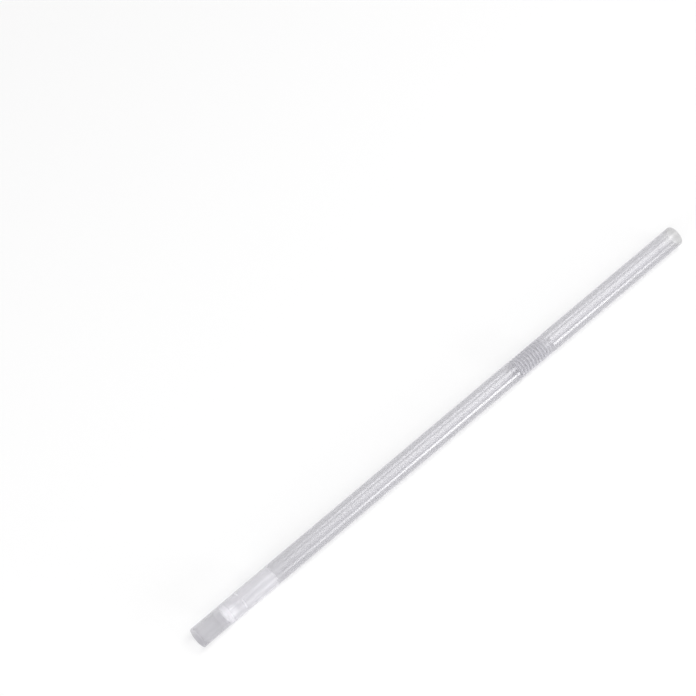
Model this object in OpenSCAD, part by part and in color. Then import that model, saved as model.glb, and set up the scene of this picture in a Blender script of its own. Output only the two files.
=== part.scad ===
// Clear flexible drinking straw with a one-way valve near its intake end.
// Lengths are millimetres. The straw lies on its side along X, its drinking end towards +X.
// The origin is under the middle of its length, on the surface that it lies on.
// Every piece is drawn upright first, its axis on Z and the intake end at zero.

/* [Tube] */
// Length from the intake end to the drinking end
straw_length = 197; // [170:1:260]
// Outer diameter of the tube
tube_od = 6.5; // [5.8:0.1:8]
// Thickness of the extruded wall, in the plain lengths and in the folds
tube_wall = 0.2; // [0.15:0.01:0.3]

/* [Flexible section] */
// Distance from the intake end to the first fold
flex_start = 127; // [80:0.1:145]
// Number of ribs rolled into the tube
rib_count = 11; // [5:1:16]
// Distance from one rib to the next, as the folds stand when pushed together
rib_pitch = 1.2; // [1.1:0.01:1.6]
// Length along the axis of each rib's long flank, the one that tucks under its neighbour
long_flank = 0.72; // [0.6:0.01:0.8]
// Depth of the folds below the tube's outer wall
fold_depth = 0.55; // [0.35:0.01:0.8]
// Length of flank taken up by the bend at each crest and root
fold_bend = 0.16; // [0.12:0.01:0.2]

/* [Valve body] */
// Distance that the valve body is pushed in from the intake end
valve_setback = 10.3; // [6:0.1:16]
// Length of the moulded valve body
valve_length = 18; // [14:0.5:24]
// Gap between the valve body and the tube's bore, all round
valve_gap = 0.05; // [0.03:0.01:0.1]
// Wall of the moulded barrel
barrel_wall = 0.55; // [0.4:0.05:0.7]
// Radius of the rounded edge on the barrel's lower end
nose_round = 0.8; // [0.4:0.1:1]
// Straight land at the inlet port, below the coned seat
port_land = 0.05; // [0.03:0.01:0.2]
// How much smaller than the ball's radius the inlet port is
seat_reach = 0.6; // [0.5:0.05:0.8]
// Chamfer inside the barrel's open mouth
mouth_chamfer = 0.25; // [0.1:0.05:0.35]

/* [Stops above the ball] */
// How much smaller than the ball's radius the ring of stops is
stop_reach = 0.35; // [0.2:0.05:0.5]
// Height of a stop at the barrel's wall
stop_root = 1; // [0.7:0.1:1.5]
// Height of a stop at its inner edge
stop_tip = 0.5; // [0.3:0.1:0.6]
// Number of gaps cut across the ring, each giving two stops
stop_cuts = 2; // [2:1:3]
// Width of each gap that lets the drink past the ball
stop_gap = 1.4; // [0.8:0.1:1.6]

/* [Ball] */
// Play between the ball and the barrel's bore, all round
ball_play = 0.25; // [0.15:0.05:0.35]
// Distance that the ball can lift off its seat before it meets the stops
ball_lift = 1.6; // [1:0.1:2.5]
// Gap left between the ball and what it lies on
ball_gap = 0.02; // [0.01:0.01:0.05]

/* [Hidden] */
$fn = 96;

tube_r = tube_od / 2;
bore_r = tube_r - tube_wall;
wall_mid_r = tube_r - tube_wall / 2;
flex_length = rib_count * rib_pitch;

valve_r = bore_r - valve_gap;
cage_r = valve_r - barrel_wall;
ball_r = cage_r - ball_play;
port_r = ball_r - seat_reach;
stop_r = ball_r - stop_reach;

// The seat is a cone of 45 degrees, so it is as high as it is wide. A ball that lies on the
// low side of the cage meets that cone sqrt(2) - 1 radii above the cone's upper edge.
seat_top = port_land + cage_r - port_r;
ball_clear_r = ball_r + ball_gap;
ball_height = seat_top + ball_clear_r * (sqrt(2) - 1);
ball_drop = cage_r - ball_clear_r;
stop_height = ball_height + ball_r + ball_lift;

// Segments in a quarter of a rounded edge, and in a fold's bend
round_steps = 6;
bend_steps = 3;
// Overlap that joins two shapes of one piece
join = 0.1;

function unit(v) = v / norm(v);
function left_of(v) = [-v[1], v[0]];

// Point of a path, moved sideways by an offset so that the offset path stays parallel
function beside(path, i, offset) =
    let (
        into = unit(path[max(i, 1)] - path[max(i, 1) - 1]),
        last = len(path) - 1,
        away = unit(path[min(i, last - 1) + 1] - path[min(i, last - 1)])
    )
    path[i] + offset * (left_of(into) + left_of(away)) / (1 + into * away);

// Rounded corner: a quadratic curve that leaves the corner's two legs at a given distance
function bend(before, corner, after, cut) =
    let (
        a = corner + cut * unit(before - corner),
        b = corner + cut * unit(after - corner)
    )
    [for (k = [0 : bend_steps])
        let (t = k / bend_steps)
        a * (1 - t) * (1 - t) + corner * 2 * t * (1 - t) + b * t * t];

// Corners of the wall's middle line from end to end: the plain tube, then roots and crests by
// turns, from one root before the first rib to the root after the last, then the plain tube
root_r = wall_mid_r - fold_depth;
short_flank = rib_pitch - long_flank;
flex_end = flex_start + flex_length;
wall_corners = concat(
    [[wall_mid_r, 0], [wall_mid_r, flex_start - short_flank]],
    [for (i = [0 : rib_count - 1]) each [
        [root_r, flex_start + i * rib_pitch],
        [wall_mid_r, flex_start + i * rib_pitch + long_flank]
    ]],
    [[root_r, flex_end], [wall_mid_r, flex_end + long_flank], [wall_mid_r, straw_length]]
);
last_corner = len(wall_corners) - 1;
wall_path = concat(
    [wall_corners[0]],
    [for (i = [1 : last_corner - 1])
        each bend(wall_corners[i - 1], wall_corners[i], wall_corners[i + 1], fold_bend)],
    [wall_corners[last_corner]]
);

// Turns a piece from its upright drawing into the straw's lying place
module lay_down() {
    translate([-straw_length / 2, 0, tube_r]) rotate([0, 90, 0]) children();
}

// One extruded tube. Its wall keeps its thickness through the folds.
module straw_tube() {
    last = len(wall_path) - 1;
    color([0.84, 0.84, 0.88, 0.45])
        lay_down()
            rotate_extrude()
                polygon(concat(
                    [for (i = [0 : last]) beside(wall_path, i, -tube_wall / 2)],
                    [for (i = [last : -1 : 0]) beside(wall_path, i, tube_wall / 2)]
                ));
}

// Half section of the barrel: rounded nose, inlet port, coned seat, cage and open mouth
module barrel_section() {
    nose = [for (k = [0 : round_steps])
        let (a = 90 * k / round_steps)
        [valve_r - nose_round + nose_round * sin(a), nose_round - nose_round * cos(a)]];
    polygon(concat(
        [[port_r, 0]],
        nose,
        [
            [valve_r, valve_length],
            [cage_r + mouth_chamfer, valve_length],
            [cage_r, valve_length - mouth_chamfer],
            [cage_r, seat_top],
            [port_r, port_land]
        ]
    ));
}

// Ring of stops inside the barrel, cut across so that drink passes the lifted ball
module ball_stops() {
    slope = (stop_root - stop_tip) / 2;
    difference() {
        translate([0, 0, stop_height])
            rotate_extrude()
                polygon([
                    [stop_r, slope],
                    [cage_r, 0],
                    [cage_r + join, 0],
                    [cage_r + join, stop_root],
                    [cage_r, stop_root],
                    [stop_r, stop_root - slope]
                ]);
        for (i = [0 : stop_cuts - 1])
            rotate([0, 0, i * 180 / stop_cuts])
                translate([-cage_r - 2 * join, -stop_gap / 2, stop_height - join])
                    cube([2 * (cage_r + 2 * join), stop_gap, stop_root + 2 * join]);
    }
}

// One moulding: the barrel with its seat, and the stops that keep the ball in its cage
module valve_body() {
    color([0.93, 0.93, 0.95])
        lay_down()
            translate([0, 0, valve_setback]) {
                rotate_extrude() barrel_section();
                ball_stops();
            }
}

// The ball is loose in its cage. It lies on the low side of the barrel, against the seat.
module valve_ball() {
    color([0.97, 0.97, 0.98])
        lay_down()
            translate([ball_drop, 0, valve_setback + ball_height])
                sphere(r = ball_r);
}

straw_tube();
valve_body();
valve_ball();
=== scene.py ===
# %% [markdown]
# # A clear drinking straw with a folded neck and a one-way valve
# This lesson dresses a finished CAD straw in Blender. The CAD part has three pieces, a tube, the
# moulded valve body inside it and the valve's loose ball. They lie on their side, the drinking
# end towards +X. The CAD keeps the sizes, and the cells below add what the eye needs: finer
# surfaces, the look of milky see-through plastic, a camera and plain soft light.

import bpy
import numpy as np
from mathutils import Matrix, Vector


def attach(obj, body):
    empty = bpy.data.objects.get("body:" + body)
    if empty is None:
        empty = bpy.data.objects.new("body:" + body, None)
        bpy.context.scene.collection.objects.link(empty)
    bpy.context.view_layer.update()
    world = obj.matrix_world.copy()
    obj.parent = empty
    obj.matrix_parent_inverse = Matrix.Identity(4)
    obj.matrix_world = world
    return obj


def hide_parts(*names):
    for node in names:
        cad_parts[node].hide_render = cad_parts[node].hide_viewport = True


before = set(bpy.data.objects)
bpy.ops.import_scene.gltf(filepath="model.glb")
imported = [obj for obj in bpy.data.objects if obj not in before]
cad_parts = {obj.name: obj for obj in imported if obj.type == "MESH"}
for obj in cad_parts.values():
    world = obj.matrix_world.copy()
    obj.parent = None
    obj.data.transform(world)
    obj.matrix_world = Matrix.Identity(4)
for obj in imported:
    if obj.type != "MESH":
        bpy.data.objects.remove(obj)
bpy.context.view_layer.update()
MM = 0.001
print("CAD nodes:", sorted(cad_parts))

# %% [markdown]
# ## The camera
# The straw was photographed from above, from the side of its intake end, through a long lens.
# A camera is easiest to place by what it looks at, how far off it is, and two angles. The
# elevation is measured up from the table, and the azimuth turns to the left of the +Y direction.
# Blender aims a camera along its own -Z axis with +Y up, so the direction is turned into a
# rotation with to_track_quat.

# %% The camera
AIM = Vector((-0.5, 41.5, 0.0)) * MM
CAMERA_DISTANCE = 798.7 * MM
ELEVATION = np.radians(58.02)
AZIMUTH = np.radians(-43.78)
LENS_MM = 137.5

to_camera = Vector((
    np.sin(AZIMUTH) * np.cos(ELEVATION),
    -np.cos(AZIMUTH) * np.cos(ELEVATION),
    np.sin(ELEVATION),
))
camera_data = bpy.data.cameras.new("camera")
camera_data.sensor_width = 36.0
camera_data.lens = LENS_MM
camera_data.clip_start, camera_data.clip_end = 0.01, 50.0
camera = bpy.data.objects.new("camera", camera_data)
camera.location = AIM + to_camera * CAMERA_DISTANCE
camera.rotation_mode = "QUATERNION"
camera.rotation_quaternion = (-to_camera).to_track_quat("-Z", "Y")
bpy.context.scene.collection.objects.link(camera)
bpy.context.scene.camera = camera
print("Camera at", [round(c, 4) for c in camera.location])

# %% [markdown]
# ## From a profile to a surface
# All three pieces are round about the straw's axis, so each is a profile carried round a circle.
# A profile is a list of corners, given as distance along the axis and radius. Real edges are
# never sharp, so each corner is replaced by a short quadratic curve that leaves its two legs at
# a chosen distance. Long straight stretches get a few extra rings near their ends. They keep
# smooth shading from spreading a small edge over a long flat wall.

# %% Helpers for profiles
def unit(v):
    """Vectors of length one: each row divided by its own length."""
    return v / np.linalg.norm(v, axis=-1, keepdims=True)


def rounded(corners, cuts, steps=6):
    """Open path with rounded corners. With a and b the points at distance cut before and after
    corner c, the curve is a(1-t)^2 + 2ct(1-t) + bt^2 for t from 0 to 1. Ends stay as they are."""
    c = np.asarray(corners, float)
    cut = np.broadcast_to(np.asarray(cuts, float), len(c) - 2)[:, None]
    a = c[1:-1] + cut * unit(c[:-2] - c[1:-1])
    b = c[1:-1] + cut * unit(c[2:] - c[1:-1])
    t = np.linspace(0, 1, steps + 1)[None, :, None]
    curve = a[:, None] * (1 - t) ** 2 + 2 * c[1:-1][:, None] * t * (1 - t) + b[:, None] * t ** 2
    return np.vstack([c[:1], curve.reshape(-1, 2), c[-1:]])


def beside(path, offset):
    """Path moved sideways, to the left of its direction. Each point moves along the sum of the
    left normals of its two segments, divided by 1 + cos of the turn, so the wall stays even."""
    step = unit(np.diff(path, axis=0))
    before, after = np.vstack([step[:1], step]), np.vstack([step, step[-1:]])
    left = np.stack([-(before + after)[:, 1], (before + after)[:, 0]], 1)
    return path + offset * left / (1 + (before * after).sum(1))[:, None]


def with_rings(path, near, most):
    """Adds points to long segments: one at distance near from each end, and between those as
    many as keep the spacing under most. Done by reading the path again at new lengths."""
    length = np.concatenate([[0], np.cumsum(np.linalg.norm(np.diff(path, axis=0), axis=1))])
    start, end = length[:-1], length[1:]
    long = end - start > 3 * near
    extra = [start[long] + near, end[long] - near]
    extra += [
        np.linspace(a, b, int(np.ceil((b - a) / most)) + 1)[1:-1]
        for a, b in zip(start[long] + near, end[long] - near)
    ]
    at = np.unique(np.concatenate([length, *extra]).round(6))
    return np.stack([np.interp(at, length, path[:, k]) for k in (0, 1)], 1)


# %% [markdown]
# ## From arrays to a mesh
# A surface is kept as a grid of points, rows by columns, worked out as whole arrays. Both
# directions close on themselves: the profile is a loop, and it goes round the axis. The volume
# inside follows from the faces by the divergence theorem. Its sign tells whether the faces look
# outwards. The printed number can be set against the volume that the piece should have.

# %% Helpers for meshes
AXIS_HEIGHT = 3.25
STRAW_LENGTH = 197.0


def full_turn(columns):
    """Angles spaced evenly round the axis, in radians. The last is one step short of a turn."""
    return np.linspace(0, 2 * np.pi, columns, endpoint=False)


def around_axis(distance, radius, angle):
    """Grid of points: y = r cos(angle), z = axis height + r sin(angle), and x is the distance
    from the intake end less half the straw's length. There is one distance for each row. The
    radius is one number for each row, or one for each point."""
    return np.stack([
        distance[:, None] - STRAW_LENGTH / 2 + 0 * angle,
        radius * np.cos(angle),
        AXIS_HEIGHT + radius * np.sin(angle),
    ], -1)


def volume_of(points, faces):
    """Sum over each face's two triangles of p . (q x r) / 6."""
    p, q, r, s = (points[faces[:, k]] for k in range(4))
    return float((np.cross(p, q) * r).sum() + (np.cross(p, r) * s).sum()) / 6


def add_mesh(name, points, faces):
    """Smooth mesh object with its faces turned outwards. The points are in millimetres."""
    if volume_of(points, faces) < 0:
        faces = faces[:, ::-1]
    mesh = bpy.data.meshes.new(name)
    mesh.from_pydata((points * MM).tolist(), [], faces.tolist())
    mesh.shade_smooth()
    piece = bpy.data.objects.new(name, mesh)
    bpy.context.scene.collection.objects.link(piece)
    print(f"{name}: {2 * len(faces)} triangles, {volume_of(points, faces):.1f} cubic mm")
    return piece


def add_surface(name, grid):
    """Mesh of a grid that closes in both directions. Each face has the corners (row, column),
    (row + 1, column), (row + 1, column + 1) and (row, column + 1)."""
    rows, columns = grid.shape[:2]
    index = np.arange(rows * columns).reshape(rows, columns)
    faces = np.stack([
        index,
        np.roll(index, -1, 0),
        np.roll(np.roll(index, -1, 0), -1, 1),
        np.roll(index, -1, 1),
    ], -1).reshape(-1, 4)
    return add_mesh(name, grid.reshape(-1, 3), faces)


# %% [markdown]
# ## The tube
# The real tube is extruded in one length, and a row of ribs is then rolled into its wall and
# pushed together. The wall keeps its thickness, so the surface starts from the wall's middle
# line. It runs straight, then goes in and out eleven times, with one flank of each rib longer
# than the other. Half the wall's thickness is added on both sides, and the two sides are joined
# at the cut ends, where the knife leaves a very small round.

# %% The tube's profile
TUBE_R, TUBE_WALL = 3.25, 0.2
FOLD_START, RIBS, RIB_PITCH = 127.0, 11, 1.2
LONG_FLANK, FOLD_DEPTH, FOLD_BEND = 0.72, 0.55, 0.16
RIM_ROUND = 0.06
RING_BY_EDGE, LONGEST_STEP, TUBE_COLUMNS = 0.1, 8.0, 144

crest_r = TUBE_R - TUBE_WALL / 2
root_r = crest_r - FOLD_DEPTH
fold_end = FOLD_START + RIBS * RIB_PITCH
rib = FOLD_START + RIB_PITCH * np.arange(RIBS)
ribs = np.stack([
    np.stack([rib, np.full(RIBS, root_r)], 1),
    np.stack([rib + LONG_FLANK, np.full(RIBS, crest_r)], 1),
], 1).reshape(-1, 2)
middle = rounded(np.vstack([
    [[0, crest_r], [FOLD_START - (RIB_PITCH - LONG_FLANK), crest_r]],
    ribs,
    [[fold_end, root_r], [fold_end + LONG_FLANK, crest_r], [STRAW_LENGTH, crest_r]],
]), FOLD_BEND, steps=5)
outer, inner = beside(middle, TUBE_WALL / 2), beside(middle, -TUBE_WALL / 2)


def between_cuts(side):
    """One side of the wall, shortened at both ends by the small round of the cut."""
    back = np.array([RIM_ROUND, 0])
    return with_rings(np.vstack([side[0] + back, side[1:-1], side[-1] - back]),
                      RING_BY_EDGE, LONGEST_STEP)


def cut_end(start, end, sign):
    """The knife's cut across the wall, from one side to the other, with its two small rounds.
    They stay a thousandth short of their legs' ends, so that no two points fall together."""
    out = np.array([sign, 0.0]) * RIM_ROUND
    return rounded([start - out, start, end, end - out], RIM_ROUND * 0.999, steps=4)[1:-1]


tube_profile = np.vstack([
    between_cuts(outer),
    cut_end(outer[-1], inner[-1], 1),
    between_cuts(inner)[::-1],
    cut_end(inner[0], outer[0], -1),
])
tube = add_surface("tube", around_axis(
    tube_profile[:, 0], tube_profile[:, 1:], full_turn(TUBE_COLUMNS)))
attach(tube, "root")
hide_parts("straw_tube")

# %% [markdown]
# ## The valve body
# The valve body is a small moulding: a barrel with a rounded nose, an inlet port, a coned seat
# for the ball and an open mouth. Above the ball's cage, four stops stand out from the wall, with
# gaps between them that let the drink pass. Instead of adding the stops as separate blocks, the
# inner wall's radius is made smaller where a stop is. So the whole moulding stays one surface.

# %% The valve body's profile
VALVE_SETBACK, VALVE_LENGTH = 10.3, 18.0
VALVE_R, CAGE_R, PORT_R = 3.0, 2.45, 1.6
NOSE_ROUND, PORT_LAND, SEAT_TOP, MOUTH_CHAMFER = 0.8, 0.05, 0.90, 0.25
STOP_R, STOP_HEIGHT, STOP_ROOT, STOP_TIP, STOP_GAP = 1.85, 5.62, 1.0, 0.5, 1.4
OUTER_LIP, INNER_LIP, BY_STOPS = 0.12, 0.3, 0.2

nose_angle = np.radians(np.linspace(0, 90, 13))
nose = np.stack([
    NOSE_ROUND - NOSE_ROUND * np.cos(nose_angle),
    VALVE_R - NOSE_ROUND + NOSE_ROUND * np.sin(nose_angle),
], 1)
outside = with_rings(np.vstack([nose, [[VALVE_LENGTH - OUTER_LIP, VALVE_R]]]), 0.1, 1.5)
below_mouth = VALVE_LENGTH - MOUTH_CHAMFER - INNER_LIP
mouth = rounded([
    [VALVE_LENGTH - OUTER_LIP, VALVE_R], [VALVE_LENGTH, VALVE_R],
    [VALVE_LENGTH, CAGE_R + MOUTH_CHAMFER], [VALVE_LENGTH - MOUTH_CHAMFER, CAGE_R],
    [below_mouth, CAGE_R],
], [0.119, 0.06, 0.08], steps=5)[1:]
above_stops, under_stops = STOP_HEIGHT + STOP_ROOT + BY_STOPS, STOP_HEIGHT - BY_STOPS
cage_rings = np.concatenate([
    np.linspace(below_mouth, above_stops, 9)[1:],
    np.linspace(above_stops, under_stops, 29)[1:],
])
cage = np.stack([cage_rings, np.full(len(cage_rings), CAGE_R)], 1)
seat = with_rings(rounded([
    [under_stops, CAGE_R], [SEAT_TOP, CAGE_R], [PORT_LAND + 0.05, PORT_R + 0.05],
    [0.0, PORT_R], [0.0, VALVE_R - NOSE_ROUND],
], [0.12, 0.05, 0.05], steps=4), 0.08, 0.8)[1:-1]
body_profile = np.vstack([outside, mouth, cage, seat]) + [VALVE_SETBACK, 0]

# %% [markdown]
# The stops narrow the inner wall. How far a point is inside a stop is the product of two ramps.
# One runs along the axis: it rises over the stop's sloped underside, stays flat at its tip and
# falls over its sloped top. The other runs round the axis: it is zero in the gaps, which lie
# straight up, straight down and to both sides, and one between them.

# %% The valve body
BODY_COLUMNS, GAP_EDGE = 240, 0.06


def ramp(x, low, high):
    """0 below low, 1 above high, and 3t^2 - 2t^3 in between."""
    t = np.clip((x - low) / (high - low), 0, 1)
    return t * t * (3 - 2 * t)


height = body_profile[:, 0] - VALVE_SETBACK
slope = (STOP_ROOT - STOP_TIP) / 2
along = np.clip((height - STOP_HEIGHT) / slope, 0, 1)
along *= np.clip((STOP_HEIGHT + STOP_ROOT - height) / slope, 0, 1)
along *= body_profile[:, 1] < CAGE_R + 0.01
turn = full_turn(BODY_COLUMNS)
sideways = np.minimum(abs(np.cos(turn)), abs(np.sin(turn))) * (CAGE_R + STOP_R) / 2
round_about = ramp(sideways, STOP_GAP / 2 - GAP_EDGE, STOP_GAP / 2 + GAP_EDGE)
narrowed = body_profile[:, 1:] - (CAGE_R - STOP_R) * along[:, None] * round_about
body = add_surface("valve_barrel", around_axis(body_profile[:, 0], narrowed, turn))
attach(body, "root")
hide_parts("valve_body")

# %% [markdown]
# ## The ball
# The ball is loose. At rest it has rolled onto the low side of the cage, against the seat. A
# sphere as a grid of latitudes and longitudes has two poles, where a whole row of points falls
# together. A cube blown up to a sphere has none. Its six faces are square grids, and each point
# is divided by its distance from the centre. Angles are spaced evenly by taking the tangent.

# %% The ball
BALL_R, BALL_CELLS = 2.2, 32
BALL_DISTANCE, BALL_DROP = 12.12, 0.23
ball_centre = np.array([BALL_DISTANCE - STRAW_LENGTH / 2, 0.0, AXIS_HEIGHT - BALL_DROP])


def cube_sphere(cells):
    """Points and faces of a sphere of radius one. On each side of a cube the points are
    (1, tan a, tan b) with a and b from -45 to 45 degrees, divided by their length."""
    side = np.tan(np.linspace(-np.pi / 4, np.pi / 4, cells + 1))
    a, b = np.meshgrid(side, side, indexing="ij")
    patch = np.stack([np.ones_like(a), a, b], -1)
    flipped = patch * [-1, 1, 1]
    sides = [np.roll(p, k, -1) for k in range(3) for p in (patch, flipped)]
    points = unit(np.stack(sides)).reshape(-1, 3)
    n = cells + 1
    corner = (np.arange(cells)[:, None] * n + np.arange(cells)).ravel()
    quad = np.stack([corner, corner + n, corner + n + 1, corner + 1], 1)
    faces = np.vstack([
        (quad if k % 2 == 0 else quad[:, ::-1]) + k * n * n for k in range(6)
    ])
    _, first, same = np.unique(points.round(6), axis=0, return_index=True, return_inverse=True)
    return points[first], same.ravel()[faces]


ball_points, ball_faces = cube_sphere(BALL_CELLS)
ball = add_mesh("valve_ball_round", ball_centre + BALL_R * ball_points, ball_faces)
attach(ball, "root")
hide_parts("valve_ball")

# %% [markdown]
# ## Finishes
# A material in Blender is a small graph of nodes. The helper below adds one node, sets its
# sockets by name and links those whose value is another node's output.

# %% Helper for materials
def new_tree(material):
    """An empty node tree with an output node."""
    material.use_nodes = True
    tree = material.node_tree
    tree.nodes.clear()
    return tree, tree.nodes.new("ShaderNodeOutputMaterial")


def add_node(tree, kind, sockets=None, **settings):
    """Adds a node. Sockets maps an input's name or number to a value or another output."""
    node = tree.nodes.new(kind)
    for name, value in settings.items():
        setattr(node, name, value)
    for name, value in (sockets or {}).items():
        if isinstance(value, bpy.types.NodeSocket):
            tree.links.new(value, node.inputs[name])
        else:
            node.inputs[name].default_value = value
    return node


def along_axis_noise(tree, stretch, fine, detail=2.0):
    """Noise that changes slowly along the straw and quickly round it, as drawn plastic does.
    stretch and fine are in waves per metre along the axis and across it."""
    place = add_node(tree, "ShaderNodeTexCoord")
    turned = add_node(tree, "ShaderNodeMapping", {
        "Vector": place.outputs["Object"], "Scale": (stretch, fine, fine)})
    return add_node(tree, "ShaderNodeTexNoise", {
        "Vector": turned.outputs["Vector"], "Scale": 1.0, "Detail": detail})


# %% [markdown]
# ## Clear plastic
# The tube is natural polypropylene, a fifth of a millimetre thick. It is clear with a slight
# milkiness. Three things happen where light meets such a wall. A few percent is mirrored, more
# at a grazing angle. A little is scattered by the milkiness, more where the wall is crossed
# sideways, because the way through it is longer. The rest goes straight on, a little weaker.
# A wall this thin hardly bends light, so the plain Transparent shader carries that last share.
#
# Layer Weight's Facing is 1 less the cosine of the angle. Its fifth power raises the mirror's
# share towards the edge, as in Schlick's formula, from three percent to a third. The milky share
# is half diffuse and half translucent. It sends as much light on as it sends back, so the valve
# inside the tube is lit as well.
#
# Not all of the tube looks alike. Where the valve fills it, the wall is made clearer, partly
# for the pressed fit, which takes away two reflections, and partly as painted light that
# brightens the valve seen through it. Painted shade darkens the wall near both cut ends and
# between the intake end and the valve. More painted shade darkens it towards the cut on the
# upper side of the drinking end and on the lower side of the intake end, where it also mirrors
# half as much. In the folds the wall stands steep at every crease, and painted shade darkens it
# there. Polypropylene whitens where a crest bends it.

# %% Helpers for finishes
def math(tree, operation, *values):
    """The result of one arithmetic node. Values are numbers or other nodes' results."""
    return add_node(tree, "ShaderNodeMath", dict(enumerate(values)),
                    operation=operation).outputs[0]


def mixed_colour(tree, factor, first, second):
    """first where the factor is 0 and second where it is 1."""
    return add_node(tree, "ShaderNodeMix", {
        "Factor": factor, "A": first, "B": second}, data_type="RGBA").outputs["Result"]


def along_straw(tree):
    """The X coordinate of the point that is shaded, in metres."""
    place = add_node(tree, "ShaderNodeTexCoord")
    return add_node(tree, "ShaderNodeSeparateXYZ", {0: place.outputs["Object"]}).outputs["X"]


def between(tree, start, end, soft):
    """1 between two distances from the intake end and 0 outside them, in millimetres, with a
    smooth step over soft at both ends. It is the product of one rising and one falling step."""
    steps = [
        add_node(tree, "ShaderNodeMapRange", {
            "Value": along_straw(tree), "From Min": (low - STRAW_LENGTH / 2) * MM,
            "From Max": (high - STRAW_LENGTH / 2) * MM}, interpolation_type="SMOOTHSTEP").outputs[0]
        for low, high in ((start - soft, start), (end + soft, end))
    ]
    return math(tree, "MULTIPLY", *steps)


def direction_from_axis(tree):
    """The Y and Z parts of a point's direction from the straw's axis, a vector of length one.
    The X coordinate is multiplied by zero first, and the axis height is taken from Z."""
    place = add_node(tree, "ShaderNodeTexCoord")
    across = add_node(tree, "ShaderNodeMapping", {
        "Vector": place.outputs["Object"], "Location": (0, 0, -AXIS_HEIGHT * MM),
        "Scale": (0, 1, 1)})
    direction = add_node(tree, "ShaderNodeVectorMath", {0: across.outputs["Vector"]},
                         operation="NORMALIZE")
    parts = add_node(tree, "ShaderNodeSeparateXYZ", {0: direction.outputs["Vector"]}).outputs
    return parts["Y"], parts["Z"]


def at_stops(tree):
    """1 in the directions of the valve's four stops and 0 in the gaps between them. With y and
    z the parts of the direction, |y z| is zero up, down and to both sides, and one half on the
    diagonals. A stop starts where it is 0.31, which is 19 degrees off a gap's middle."""
    stop_edge = 0.31
    diagonal = math(tree, "ABSOLUTE", math(tree, "MULTIPLY", *direction_from_axis(tree)))
    return math(tree, "GREATER_THAN", diagonal, stop_edge)


def on_side(tree, side):
    """For side 1, 1 on the upper half of the straw and 0 on its lower half, with a smooth step
    between them over 20 degrees each way. For side -1 the two halves change places."""
    limit = 0.35 * side
    return add_node(tree, "ShaderNodeMapRange", {
        "Value": direction_from_axis(tree)[1], "From Min": -limit, "From Max": limit},
        interpolation_type="SMOOTHSTEP").outputs[0]


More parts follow.
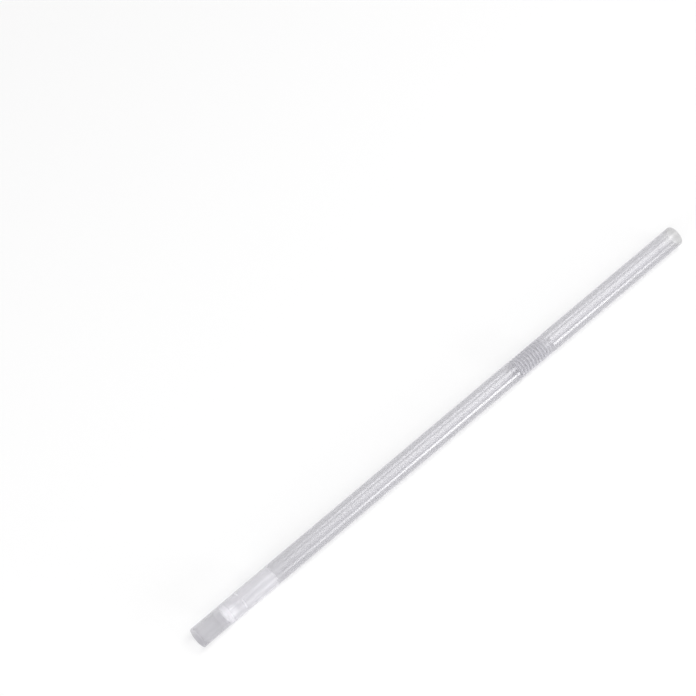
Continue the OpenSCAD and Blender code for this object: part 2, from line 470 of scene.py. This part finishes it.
def see_through_plastic(name, passed, milk, milk_colour, shine_roughness, mirrored,
                        edge_power=3.0, lengths=(), side_shade=(), creased=None, thick=None,
                        stops=None):
    """Mixes a clear share, a milky share and a mirrored share. passed is the colour that one
    surface lets through. milk is the milky share seen straight on and edge-on. lengths holds
    (start, end, soft, passed) for each length that lets through more or less, which paints
    shade there, or light where it lets through more. The side shade holds (side, start, end,
    soft, passed) for each painted shade on the upper or lower half only, which also mirrors
    half as much there. thick and stops are (start, end, soft, milk added) for the lengths with
    more plastic, all round or at the stops. At the stops the band is partly a painted glint.
    creased is (start, end, soft, pitch, passed, milk added) for a folded length, where passed
    is a painted shade in the creases and the milk added whitens the crests. Its creases lie at
    start and every pitch after it, and their share at distance x is
    0.5 + 0.5 cos(2 pi (x - start) / pitch)."""
    material = bpy.data.materials.new(name)
    tree, output = new_tree(material)
    facing = add_node(tree, "ShaderNodeLayerWeight", {"Blend": 0.5}).outputs["Facing"]
    lines = along_axis_noise(tree, 14.0, 350.0).outputs["Fac"]
    uneven = add_node(tree, "ShaderNodeMapRange", {
        "Value": lines, "From Min": 0.3, "From Max": 0.7, "To Min": 0.85, "To Max": 1.15})
    share = math(tree, "MULTIPLY_ADD", math(tree, "POWER", facing, edge_power),
                 milk[1] - milk[0], milk[0])
    share = math(tree, "MULTIPLY", share, uneven.outputs[0])
    mirror = math(tree, "MULTIPLY_ADD", math(tree, "POWER", facing, 5.0),
                  mirrored[1] - mirrored[0], mirrored[0])
    tint = (*passed, 1)
    for start, end, soft, other in lengths:
        tint = mixed_colour(tree, between(tree, start, end, soft), tint, (*other, 1))
    # Painted shade on one half of a length, which also halves the mirror there.
    for side, start, end, soft, other in side_shade:
        half = math(tree, "MULTIPLY", between(tree, start, end, soft), on_side(tree, side))
        tint = mixed_colour(tree, half, tint, (*other, 1))
        mirror = math(tree, "MULTIPLY", mirror, math(tree, "MULTIPLY_ADD", half, -0.5, 1.0))
    # The darker colour at the creases is painted shade. The milk added at the crests is whitening.
    if creased:
        start, end, soft, pitch, darker, added = creased
        phase = math(tree, "MULTIPLY_ADD", along_straw(tree), 2 * np.pi / (pitch * MM),
                     2 * np.pi * (STRAW_LENGTH / 2 - start) / pitch)
        crease = math(tree, "MULTIPLY_ADD", math(tree, "COSINE", phase), 0.5, 0.5)
        folded = between(tree, start, end, soft)
        tint = mixed_colour(tree, math(tree, "MULTIPLY", crease, folded), tint, (*darker, 1))
        crest = math(tree, "MULTIPLY_ADD", crease, -added, added)
        share = math(tree, "MULTIPLY_ADD", crest, folded, share)
    if thick:
        start, end, soft, added = thick
        share = math(tree, "MULTIPLY_ADD", between(tree, start, end, soft), added, share)
    # The band at the stops is partly thicker plastic and partly a painted glint.
    if stops:
        start, end, soft, added = stops
        place = math(tree, "MULTIPLY", between(tree, start, end, soft), at_stops(tree))
        share = math(tree, "MULTIPLY_ADD", place, added, share)
    clear = add_node(tree, "ShaderNodeBsdfTransparent", {"Color": tint})
    back = add_node(tree, "ShaderNodeBsdfPrincipled", {
        "Base Color": (*milk_colour, 1), "Roughness": 0.6, "Specular IOR Level": 0.0})
    through = add_node(tree, "ShaderNodeBsdfTranslucent", {"Color": (*milk_colour, 1)})
    haze = add_node(tree, "ShaderNodeMixShader", {
        0: 0.5, 1: back.outputs[0], 2: through.outputs[0]})
    shine_rough = add_node(tree, "ShaderNodeMapRange", {
        "Value": lines, "From Min": 0.3, "From Max": 0.7,
        "To Min": shine_roughness * 0.85, "To Max": shine_roughness * 1.15})
    gloss = add_node(tree, "ShaderNodeBsdfGlossy", {
        "Color": (1, 1, 1, 1), "Roughness": shine_rough.outputs[0]})
    inside = add_node(tree, "ShaderNodeMixShader", {
        0: math(tree, "MINIMUM", share, 1.0), 1: clear.outputs[0], 2: haze.outputs[0]})
    both = add_node(tree, "ShaderNodeMixShader", {
        0: mirror, 1: inside.outputs[0], 2: gloss.outputs[0]})
    tree.links.new(both.outputs[0], output.inputs["Surface"])
    return material


# %% The tube's finish
clear_plastic = see_through_plastic(
    "clear_polypropylene", passed=(0.916, 0.9145, 0.922), milk=(0.03, 0.45),
    milk_colour=(0.72, 0.715, 0.745), shine_roughness=0.24, mirrored=(0.034, 0.35),
    lengths=(
        # Clearer where the valve fills the tube: partly the pressed fit, partly painted light that
        # brightens the valve.
        (8.7, VALVE_SETBACK + VALVE_LENGTH, 0.4, (0.947, 0.9455, 0.953)),
        # Painted shade between the intake end and the valve.
        (1.0, 8.3, 0.4, (0.909, 0.9075, 0.915)),
        # Painted shade at the intake end's cut.
        (-1.0, 0.8, 0.8, (0.90, 0.898, 0.907)),
        # Painted shade at the drinking end's cut.
        (195.5, 198.0, 1.0, (0.89, 0.889, 0.892)),
    ),
    side_shade=(
        # Painted shade on the lower half of the intake end, with half the mirror.
        (-1, -1.0, 0.8, 1.8, (0.83, 0.827, 0.84)),
        # Painted shade on the upper half of the drinking end, with half the mirror.
        (1, 196.0, 198.0, 3.0, (0.808, 0.807, 0.809)),
    ),
    # Painted shade in the creases, and whitened crests.
    creased=(FOLD_START, fold_end, 0.3, RIB_PITCH, (0.906, 0.9045, 0.912), 0.38))
tube.data.materials.append(clear_plastic)

# %% [markdown]
# ## White translucent plastic and the ball
# The valve body is moulded in a whiter grade, which lets the ball glow through. It is whiter
# still where the moulding is thicker, at its nose and at the four stops. At the stops the whiter
# band is narrow and partly a painted glint. The ball is a hard, polished white.

# %% The valve's finishes
white_plastic = see_through_plastic(
    "white_polyethylene", passed=(0.99, 0.99, 0.99), milk=(0.28, 0.65),
    milk_colour=(0.985, 0.981, 0.992), shine_roughness=0.15, mirrored=(0.028, 0.35),
    edge_power=2.0, thick=(VALVE_SETBACK, VALVE_SETBACK + 0.6, 0.6, 0.42),
    # The narrow whiter band at the stops is partly thicker moulding and partly a painted glint.
    stops=(15.95, 16.3, 0.15, 0.4))
body.data.materials.append(white_plastic)

ball_finish = bpy.data.materials.new("polished_white")
tree, output = new_tree(ball_finish)
speckle = along_axis_noise(tree, 900.0, 900.0, detail=3.0).outputs["Fac"]
tone = mixed_colour(tree, speckle, (0.93, 0.928, 0.937, 1), (0.95, 0.948, 0.957, 1))
polish = add_node(tree, "ShaderNodeBsdfPrincipled", {"Base Color": tone, "Roughness": 0.25})
tree.links.new(polish.outputs[0], output.inputs["Surface"])
ball.data.materials.append(ball_finish)

# %% [markdown]
# ## Floor and surroundings
# A product photograph stands its object on white. The floor is a white diffuse sheet, so it
# takes the straw's shadow. For rays from the camera, and for rays that have been mirrored or
# have gone through glass, a small share of it is replaced by a plain white glow, so that it
# reads as white paper. The world is white to those rays and a plain soft light to all others.

# %% The floor
FLOOR_HALF, FLOOR_GLOW = 6.0, 0.15
floor_mesh = bpy.data.meshes.new("floor")
floor_mesh.from_pydata(
    [(-FLOOR_HALF, -FLOOR_HALF, 0), (FLOOR_HALF, -FLOOR_HALF, 0),
     (FLOOR_HALF, FLOOR_HALF, 0), (-FLOOR_HALF, FLOOR_HALF, 0)], [], [(0, 1, 2, 3)])
floor = bpy.data.objects.new("floor", floor_mesh)
bpy.context.scene.collection.objects.link(floor)


def seen_share(tree, share):
    """share for rays from the camera, mirrors and glass, and 0 for all others."""
    path = add_node(tree, "ShaderNodeLightPath").outputs
    seen = math(tree, "MAXIMUM", path["Is Camera Ray"], path["Is Glossy Ray"])
    seen = math(tree, "MAXIMUM", seen, path["Is Transmission Ray"])
    return math(tree, "MULTIPLY", seen, share)


paper = bpy.data.materials.new("white_paper")
tree, output = new_tree(paper)
matt = add_node(tree, "ShaderNodeBsdfDiffuse", {"Color": (0.97, 0.97, 0.97, 1)})
glow = add_node(tree, "ShaderNodeEmission", {"Color": (1, 1, 1, 1), "Strength": 1.0})
sheet = add_node(tree, "ShaderNodeMixShader", {
    0: seen_share(tree, FLOOR_GLOW), 1: matt.outputs[0], 2: glow.outputs[0]})
tree.links.new(sheet.outputs[0], output.inputs["Surface"])
floor.data.materials.append(paper)

# %% The surroundings
SOFT_LIGHT = 0.44
world = bpy.data.worlds.new("white_room")
bpy.context.scene.world = world
world.use_nodes = True
tree = world.node_tree
tree.nodes.clear()
sky_out = tree.nodes.new("ShaderNodeOutputWorld")
soft = add_node(tree, "ShaderNodeBackground", {"Color": (1, 1, 1, 1), "Strength": SOFT_LIGHT})
white = add_node(tree, "ShaderNodeBackground", {"Color": (1, 1, 1, 1), "Strength": 1.0})
sky = add_node(tree, "ShaderNodeMixShader", {
    0: seen_share(tree, 1.0), 1: soft.outputs[0], 2: white.outputs[0]})
tree.links.new(sky.outputs[0], sky_out.inputs["Surface"])

# %% [markdown]
# ## Lamps
# A round straw shows each lamp as a streak along it. The ceiling panel gives the broad streak on
# its upper half, and the side panel, low on the camera's side, the narrow one below. The front
# panel is wide and weak, and fills in the shadows. The end panel stands before the open intake
# end, so that light falls on the valve's nose and on the long flanks of the folds. A panel's
# brightness is its power over pi times its area, so the helper works the power out from the
# brightness that is wanted.

# %% Lamps
def add_panel(name, centre, size, brightness):
    """A rectangular lamp that faces the straw's middle. Its first size lies as near to the X
    direction as it can, which is X less its part along the lamp's own direction d, X - (X.d) d.
    The second lies across that, along the vector product of d and the first."""
    lamp = bpy.data.lights.new(name, "AREA")
    lamp.shape = "RECTANGLE"
    lamp.size, lamp.size_y = size
    lamp.energy = brightness * np.pi * size[0] * size[1]
    holder = bpy.data.objects.new(name, lamp)
    away = unit(np.array(centre))
    first = unit(np.array([1.0, 0, 0]) - away[0] * away)
    holder.matrix_world = Matrix.Translation(centre) @ Matrix(
        np.stack([first, np.cross(away, first), away], 1).tolist()).to_4x4()
    bpy.context.scene.collection.objects.link(holder)
    print(f"{name}: {lamp.energy:.2f} W")


add_panel("ceiling_panel", (0.53, -0.12, 0.98), (0.5, 0.55), 5.0)
add_panel("side_panel", (0.36, -0.80, 0.16), (0.26, 0.30), 11.5)
add_panel("front_panel", (-0.55, -0.575, 1.27), (1.3, 1.3), 1.0)
add_panel("end_panel", (-1.27, -0.30, 0.32), (0.55, 0.55), 9.5)

# %% [markdown]
# ## Render settings
# The view transform stays plain, so that a colour renders as it is written. A ray may cross
# many clear walls before it reaches the floor, so it may pass 32 of them.

# %% Render settings
bpy.context.scene.view_settings.view_transform = "Standard"
bpy.context.scene.cycles.transparent_max_bounces = 32
